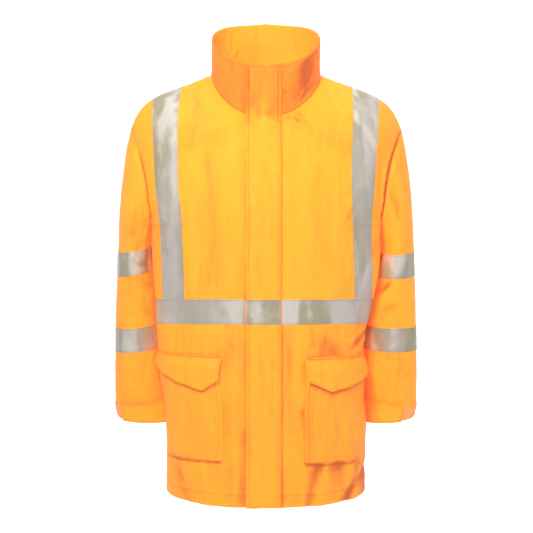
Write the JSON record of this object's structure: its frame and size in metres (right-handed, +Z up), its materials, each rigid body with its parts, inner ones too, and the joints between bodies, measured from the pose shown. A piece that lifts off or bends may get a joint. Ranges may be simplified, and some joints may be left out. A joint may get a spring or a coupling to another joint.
{
  "type": "work jacket",
  "caption": "Orange hi-vis work jacket, worn form with nobody inside: stand-up collar, storm flap over the front zip, pleated flap pockets and silver reflective tape.",
  "frame": {"origin": "middle of the neck opening, near the height of the shoulder seams' neck ends", "axes": "+Z up along the body, the front faces -Y, +X is the wearer's left"},
  "size_m": [0.6454, 0.3144, 0.9801],
  "materials": {
    "orange_cloth": "matt coated weave",
    "reflective_tape": "silver retroreflective",
    "loop_patch": "brushed loop",
    "zip_tape": "woven tape with teeth"
  },
  "bodies": {
    "root": {"front_left": "orange_cloth", "front_right": "orange_cloth", "back_left": "orange_cloth", "back_right": "orange_cloth", "sleeve_left": "orange_cloth", "sleeve_right": "orange_cloth", "collar": "orange_cloth", "storm_flap": "orange_cloth", "front_zip": "zip_tape", "pocket_left": "orange_cloth", "pocket_right": "orange_cloth", "pocket_flap_left": "orange_cloth", "pocket_flap_right": "orange_cloth", "tape_waist_front_left": "reflective_tape", "tape_waist_front_right": "reflective_tape", "tape_waist_back_left": "reflective_tape", "tape_waist_back_right": "reflective_tape", "tape_waist_flap": "reflective_tape", "tape_brace_front_left": "reflective_tape", "tape_brace_front_right": "reflective_tape", "tape_brace_back_left": "reflective_tape", "tape_brace_back_right": "reflective_tape", "tape_sleeve_upper_left": "reflective_tape", "tape_sleeve_upper_right": "reflective_tape", "tape_sleeve_lower_left": "reflective_tape", "tape_sleeve_lower_right": "reflective_tape", "cuff_strap_left": "orange_cloth", "cuff_strap_right": "orange_cloth", "cuff_loop_left": "loop_patch", "cuff_loop_right": "loop_patch"}
  },
  "joints": []
}
